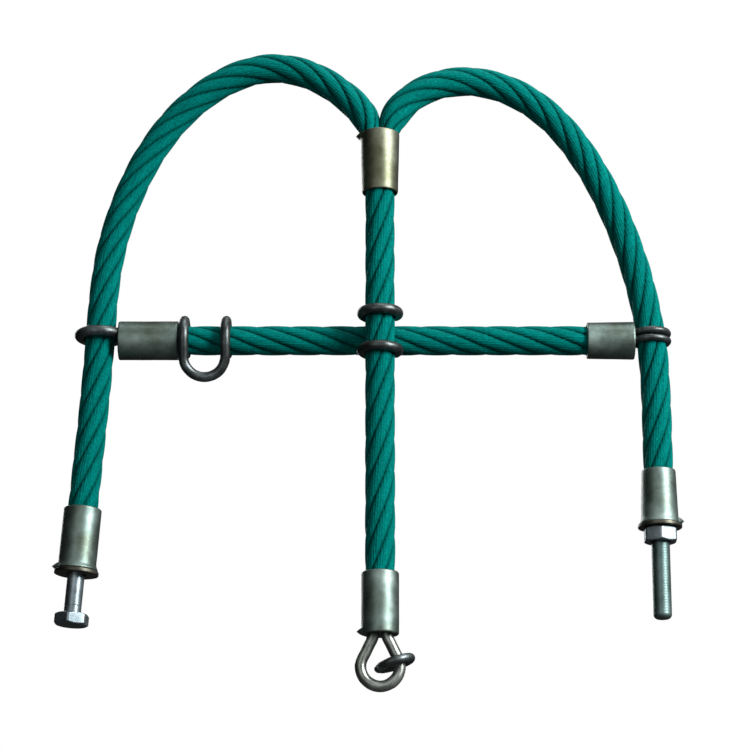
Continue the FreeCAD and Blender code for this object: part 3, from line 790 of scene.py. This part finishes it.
class Finish:
    """Builds a material's nodes one by one."""

    def __init__(self, name):
        self.material = bpy.data.materials.new(name)
        self.material.use_nodes = True
        self.tree = self.material.node_tree
        self.surface = self.tree.nodes["Principled BSDF"]

    def add(self, kind, settings=None, **inputs):
        """Adds a node. Inputs are named by their labels with underscores, or by i and their number."""
        node = self.tree.nodes.new("ShaderNode" + kind)
        for key, value in (settings or {}).items():
            setattr(node, key, value)
        for key, value in inputs.items():
            self.feed(node, int(key[1:]) if key[1:].isdigit() else key.replace("_", " "), value)
        return node

    def feed(self, node, key, value):
        """Sets an input to a value, or links it to a node's output."""
        if isinstance(value, bpy.types.Node):
            value = value.outputs[0]
        if isinstance(value, bpy.types.NodeSocket):
            self.tree.links.new(value, node.inputs[key])
        else:
            node.inputs[key].default_value = value

    def noise(self, coordinates, scale, detail=3.0, rough=0.55):
        """Soft random patches between 0 and 1."""
        node = self.add("TexNoise", Vector=coordinates, Scale=scale, Detail=detail, Roughness=rough)
        return node.outputs[0]

    def ramp(self, value, stops):
        """Turns a value into a colour or a shade through stops of (place, shade or colour)."""
        node = self.add("ValToRGB", Fac=value)
        elements = node.color_ramp.elements
        while len(elements) < len(stops):
            elements.new(0.5)
        for element, (place, colour) in zip(elements, stops):
            element.position = place
            element.color = (*colour, 1) if isinstance(colour, tuple) else (colour, colour, colour, 1)
        return node.outputs[0]

    def mix(self, share, first, second, blend="MIX"):
        """Mixes two colours."""
        node = self.add("Mix", {"data_type": "RGBA", "blend_type": blend})
        self.feed(node, 0, share)
        self.feed(node, 6, first)
        self.feed(node, 7, second)
        return node.outputs[2]

    def maths(self, operation, first, second=0.5):
        """One sum on two values."""
        node = self.add("Math", {"operation": operation})
        self.feed(node, 0, first)
        self.feed(node, 1, second)
        return node.outputs[0]

    def bumped(self, *layers):
        """Stacks bumps, each a (height, strength, distance)."""
        normal = None
        for height, strength, distance in layers:
            node = self.add("Bump", Height=height, Strength=strength, Distance=distance)
            if normal:
                self.feed(node, "Normal", normal)
            normal = node.outputs[0]
        self.feed(self.surface, "Normal", normal)


def rgb(red, green, blue):
    """A colour as seen on screen, in 0 to 255, turned into the linear values that materials take."""
    shares = [shade / 255 for shade in (red, green, blue)]
    return tuple(((c + 0.055) / 1.055) ** 2.4 if c > 0.04045 else c / 12.92 for c in shares)


def rope_finish():
    """Dyed yarn: fine fibres, dark specks, painted glints, a trace of sheen, faded patches, painted groove shade.
    """
    f = Finish("rope_yarn")
    uv = f.add("UVMap", {"uv_map": "along"}).outputs[0]
    place = f.add("TexCoord").outputs["Object"]
    fibres = f.noise(f.add("Mapping", Vector=uv, Scale=(420.0, 46.0, 1.0)).outputs[0], 1.0, 4.0)
    strands_of_yarn = f.noise(f.add("Mapping", Vector=uv, Scale=(60.0, 12.0, 1.0)).outputs[0], 1.0, 2.0)
    patches = f.noise(place, 38.0, 3.0)
    specks_and_glints = f.noise(place, 950.0, 3.0, 0.6)
    groove = f.add("Attribute", {"attribute_name": "groove"}).outputs["Fac"]
    dye = [(0.25, rgb(0, 94, 89)), (0.5, rgb(0, 114, 108)), (0.78, rgb(0, 132, 124))]
    shaded = [(0.0, 0.0), (0.45, 0.25), (0.8, 0.6), (1.0, 0.9)]
    dye_and_painted_light = f.ramp(strands_of_yarn, dye)
    dye_and_painted_light = f.mix(f.ramp(patches, [(0.4, 0.0), (0.75, 0.5)]), dye_and_painted_light, (*rgb(0, 108, 98), 1))
    dye_and_painted_light = f.mix(f.ramp(fibres, [(0.35, 0.6), (0.7, 0.0)]), dye_and_painted_light, (*rgb(0, 80, 76), 1))
    # The dark specks are fibre colour.
    dye_and_painted_light = f.mix(f.ramp(specks_and_glints, [(0.3, 0.75), (0.48, 0.0)]), dye_and_painted_light, (*rgb(0, 62, 58), 1))
    # Painted highlight: the brightest specks are lifted to a lit teal, glints standing in for light caught on
    # loose fibres.
    dye_and_painted_light = f.mix(f.ramp(specks_and_glints, [(0.55, 0.0), (0.72, 0.45)]), dye_and_painted_light, (*rgb(4, 142, 132), 1))
    # Painted shade: the colour itself darkens into the grooves between strands.
    dye_and_painted_light = f.mix(f.ramp(groove, shaded), dye_and_painted_light, (*rgb(0, 54, 50), 1))
    f.feed(f.surface, "Base Color", dye_and_painted_light)
    f.feed(f.surface, "Roughness", f.ramp(fibres, [(0.2, 0.7), (0.8, 0.85)]))
    f.feed(f.surface, "Sheen Weight", 0.015)
    f.feed(f.surface, "Sheen Roughness", 0.4)
    f.feed(f.surface, "Sheen Tint", (*rgb(0, 170, 160), 1))
    f.feed(f.surface, "Specular IOR Level", 0.1)
    f.feed(f.surface, "Specular Tint", (*rgb(20, 200, 190), 1))
    f.bumped((strands_of_yarn, 0.5, 0.0003), (fibres, 0.6, 0.00015), (specks_and_glints, 0.5, 0.00018))
    return f.material


def core_finish():
    """Undyed fibre, seen only at a rope's cut end."""
    f = Finish("rope_core")
    place = f.add("TexCoord").outputs["Object"]
    fibres = f.noise(f.add("Mapping", Vector=place, Scale=(900.0, 900.0, 260.0)).outputs[0], 1.0, 4.0)
    f.feed(f.surface, "Base Color", f.ramp(fibres, [(0.3, rgb(150, 146, 130)), (0.7, rgb(214, 210, 196))]))
    f.feed(f.surface, "Roughness", f.ramp(fibres, [(0.2, 0.7), (0.8, 0.9)]))
    f.feed(f.surface, "Sheen Weight", 0.2)
    f.bumped((fibres, 0.5, 0.0002))
    return f.material


def metal_finish(name, tones, painted_edge_shade, dullness, patch_scale, bump, edge_shade_share):
    """Plated steel: cloudy tones, painted shade at grazing angles for dark edge reflections, scuffs, fine pits and
    uneven shine.
    """
    f = Finish(name)
    place = f.add("TexCoord").outputs["Object"]
    clouds = f.noise(place, patch_scale, 4.0, 0.6)
    aside = f.add("Mapping", Vector=place, Location=(3.0, 7.0, 1.0)).outputs[0]
    stains = f.noise(aside, patch_scale * 0.45, 5.0, 0.65)
    pits = f.noise(place, 1500.0, 2.0)
    grain = f.noise(place, 420.0, 3.0)
    scuffs = f.noise(f.add("Mapping", Vector=place, Scale=(260.0, 260.0, 2600.0)).outputs[0], 1.0, 2.0)
    low, middle, high = tones
    colour = f.ramp(clouds, [(0.34, low), (0.52, middle), (0.68, high)])
    colour = f.mix(f.ramp(stains, [(0.5, 0.0), (0.72, 0.6)]), colour, (*low, 1))
    # Painted shade: the colour darkens towards grazing angles, standing in for the dark surroundings mirrored at
    # the edges.
    facing = f.add("LayerWeight", Blend=0.35).outputs["Facing"]
    colour = f.mix(f.maths("MULTIPLY", facing, edge_shade_share), colour, (*painted_edge_shade, 1))
    colour = f.mix(f.ramp(scuffs, [(0.62, 0.0), (0.74, 0.35)]), colour, (*high, 1))
    f.feed(f.surface, "Base Color", colour)
    f.feed(f.surface, "Metallic", 0.92)
    uneven = f.ramp(f.mix(0.5, clouds, grain), [(0.3, dullness - 0.08), (0.7, dullness + 0.12)])
    f.feed(f.surface, "Roughness", uneven)
    f.bumped((clouds, 0.25 * bump, 0.0006), (grain, 0.35 * bump, 0.00012), (pits, 0.25 * bump, 0.00005))
    return f.material


# Each metal: its dark, middle and light tones, its painted shade at grazing angles, how dull it is, the scale
# of its patches, how bumpy it is, and how far the painted grazing shade takes over.
metals = {
    "ferrule_zinc": ((92, 104, 92), (118, 136, 131), (152, 170, 164), (20, 24, 22), 0.46, 55.0, 0.25, 0.9),
    "aged_plating": ((88, 92, 70), (116, 120, 100), (142, 146, 128), (22, 24, 18), 0.45, 55.0, 0.3, 0.9),
    "eye_plating": ((116, 122, 116), (148, 154, 148), (182, 188, 184), (34, 36, 32), 0.34, 80.0, 0.4, 0.7),
    "clip_steel": ((62, 66, 66), (86, 92, 92), (116, 128, 130), (28, 30, 30), 0.4, 90.0, 0.4, 0.7),
    "bolt_zinc": ((108, 122, 128), (140, 154, 160), (172, 186, 190), (20, 24, 26), 0.38, 60.0, 0.3, 0.7),
    "washer_plating": ((66, 66, 58), (88, 88, 78), (112, 112, 102), (36, 34, 30), 0.42, 80.0, 0.4, 0.7),
    "stud_plating": ((84, 104, 102), (104, 126, 124), (128, 148, 146), (50, 62, 60), 0.46, 60.0, 0.3, 0.7),
}
finishes = {"rope_yarn": rope_finish(), "rope_core": core_finish()}
for metal, (*tones, dullness, patch_scale, bump, edge_shade_share) in metals.items():
    low, middle, high, painted_edge_shade = [rgb(*tone) for tone in tones]
    finishes[metal] = metal_finish(
        metal, (low, middle, high), painted_edge_shade, dullness, patch_scale, bump, edge_shade_share
    )


# ---- the assembly -------------------------------------------------------------------------------

build_rope("left_arch_rope", "y_ferrule")
build_rope("right_arch_rope", "y_ferrule")
build_rope("centre_rope", "centre_foot_ferrule")
build_rope("crossbar_rope", "left_tee_ferrule")

tee_line = middle_of("crossbar_rope_core")
centre_line = middle_of("centre_rope_core")
build_ferrule("y_ferrule", centre_line, UP, -ACROSS, True, finish="aged_plating")
build_ferrule("centre_foot_ferrule", centre_line, UP, -ACROSS, False, "low")
left_flare = 1.3 * MM
right_flare = 0.8 * MM
build_ferrule("left_foot_ferrule", left_foot_base, foot_axis, -ACROSS, False, flare=left_flare)
build_ferrule("right_foot_ferrule", right_foot_base, UP, ACROSS, False, flare=right_flare)
build_ferrule("left_tee_ferrule", tee_line, ACROSS, -UP, None, "low")
build_ferrule("right_tee_ferrule", tee_line, ACROSS, -UP, None, "high")

for rod_node in ("left_tie_loop", "right_tie_loops", "crossing_clip", "u_clip", "open_ring"):
    build_rod(rod_node)
build_rod("eye", finish="eye_plating")

build_washer("left_washer", left_foot_base, foot_axis)
build_washer("right_washer", right_foot_base, UP)
build_bolt("left_bolt", left_foot_base, foot_axis)
build_nut("right_nut", right_foot_base, UP)
build_stud("right_stud", right_foot_base, UP)

shown_cad = [node for node in frame["nodes"] if node.endswith("_core") or node.endswith("_insert")]
for node in shown_cad:
    data = frame["nodes"][node].data
    data.materials.clear()
    data.materials.append(finishes[slot_of_node[node]])


# ---- studio -------------------------------------------------------------------------------------

aim_left = 2.75 * MM  # from the centre rope
aim_down = 19.7 * MM  # from the crossbar rope
crossbar = middle_of("crossbar_rope_core")
aim = np.array([middle_of("centre_rope_core")[0] - aim_left, crossbar[1], crossbar[2] - aim_down])
camera_distance = 1.5
camera_elevation = math.radians(-16.5)


def aimed(thing, place, target):
    """Puts a camera or a light at a place, looking at a target."""
    thing.location = Vector(place)
    thing.rotation_euler = (Vector(target) - Vector(place)).to_track_quat("-Z", "Y").to_euler()
    bpy.context.scene.collection.objects.link(thing)
    return thing


camera = bpy.data.cameras.new("camera")
camera.sensor_width = 36
camera.lens = 130.9
camera.clip_end = 20
camera_from = np.array([0, -math.cos(camera_elevation), math.sin(camera_elevation)])
camera_place = aim + camera_distance * camera_from
bpy.context.scene.camera = aimed(bpy.data.objects.new("camera", camera), camera_place, aim)


def softbox(name, place, width, height, power):
    """A soft rectangular light aimed at the object."""
    light = bpy.data.lights.new(name, "AREA")
    light.shape = "RECTANGLE"
    light.size = width
    light.size_y = height
    light.energy = power
    return aimed(bpy.data.objects.new(name, light), place, aim)


softbox("key", (1.15, -0.9, 0.75), 0.5, 0.9, 46)
softbox("fill", (-0.5, -1.4, 0.25), 0.8, 1.0, 3)
softbox("top", (0.2, -0.1, 1.4), 0.9, 0.6, 7)
softbox("back", (-0.5, 1.2, 0.7), 0.7, 0.7, 9)


def build_floor():
    """A pale paper floor. It looks bright to the camera but throws little light up into the metal."""
    reach = 6.0
    height = float(cad_low[2]) - 0.45
    thrown = (0.05, 0.05, 0.05, 1)
    glow = 0.42
    mesh = bpy.data.meshes.new("floor")
    corners = [(x * reach, y * reach, height) for x, y in ((-1, -1), (1, -1), (1, 1), (-1, 1))]
    mesh.from_pydata(corners, [], [(0, 1, 2, 3)])
    floor = bpy.data.objects.new("floor", mesh)
    bpy.context.scene.collection.objects.link(floor)
    paper = Finish("floor_paper")
    grain = paper.noise(paper.add("TexCoord").outputs["Object"], 60.0)
    seen = paper.ramp(grain, [(0.3, 0.78), (0.7, 0.82)])
    from_camera = paper.add("LightPath").outputs["Is Camera Ray"]
    paper.feed(paper.surface, "Base Color", paper.mix(from_camera, thrown, seen))
    paper.feed(paper.surface, "Roughness", 0.9)
    paper.feed(paper.surface, "Emission Color", (1, 1, 1, 1))
    paper.feed(paper.surface, "Emission Strength", paper.maths("MULTIPLY", from_camera, glow))
    mesh.materials.append(paper.material)


def build_sky():
    """A white backdrop for the camera. The object is lit, and mirrored in its metal, by a dimmer sky."""
    bright_side = (0.62, -0.2, 0.75)
    levels = ((0.35, 0.015), (1.0, 0.4))
    world = bpy.data.worlds.new("studio")
    bpy.context.scene.world = world
    world.use_nodes = True
    sky = world.node_tree
    lit = sky.nodes["Background"]
    seen = sky.nodes.new("ShaderNodeBackground")
    seen.inputs["Color"].default_value = (1, 1, 1, 1)
    rays = sky.nodes.new("ShaderNodeLightPath")
    pick = sky.nodes.new("ShaderNodeMixShader")
    where = sky.nodes.new("ShaderNodeTexCoord")
    towards = sky.nodes.new("ShaderNodeVectorMath")
    towards.operation = "DOT_PRODUCT"
    towards.inputs[1].default_value = bright_side
    lift = sky.nodes.new("ShaderNodeMath")
    lift.operation = "MULTIPLY_ADD"
    lift.inputs[1].default_value = 0.5
    lift.inputs[2].default_value = 0.5
    shade = sky.nodes.new("ShaderNodeValToRGB")
    for element, (place, level) in zip(shade.color_ramp.elements, levels):
        element.position = place
        element.color = (level, level, level, 1)
    sky.links.new(where.outputs["Generated"], towards.inputs[0])
    sky.links.new(towards.outputs["Value"], lift.inputs[0])
    sky.links.new(lift.outputs[0], shade.inputs[0])
    sky.links.new(shade.outputs[0], lit.inputs["Color"])
    sky.links.new(rays.outputs["Is Camera Ray"], pick.inputs[0])
    sky.links.new(lit.outputs[0], pick.inputs[1])
    sky.links.new(seen.outputs[0], pick.inputs[2])
    sky.links.new(pick.outputs[0], sky.nodes["World Output"].inputs["Surface"])


build_floor()
build_sky()
bpy.context.scene.view_settings.view_transform = "Standard"
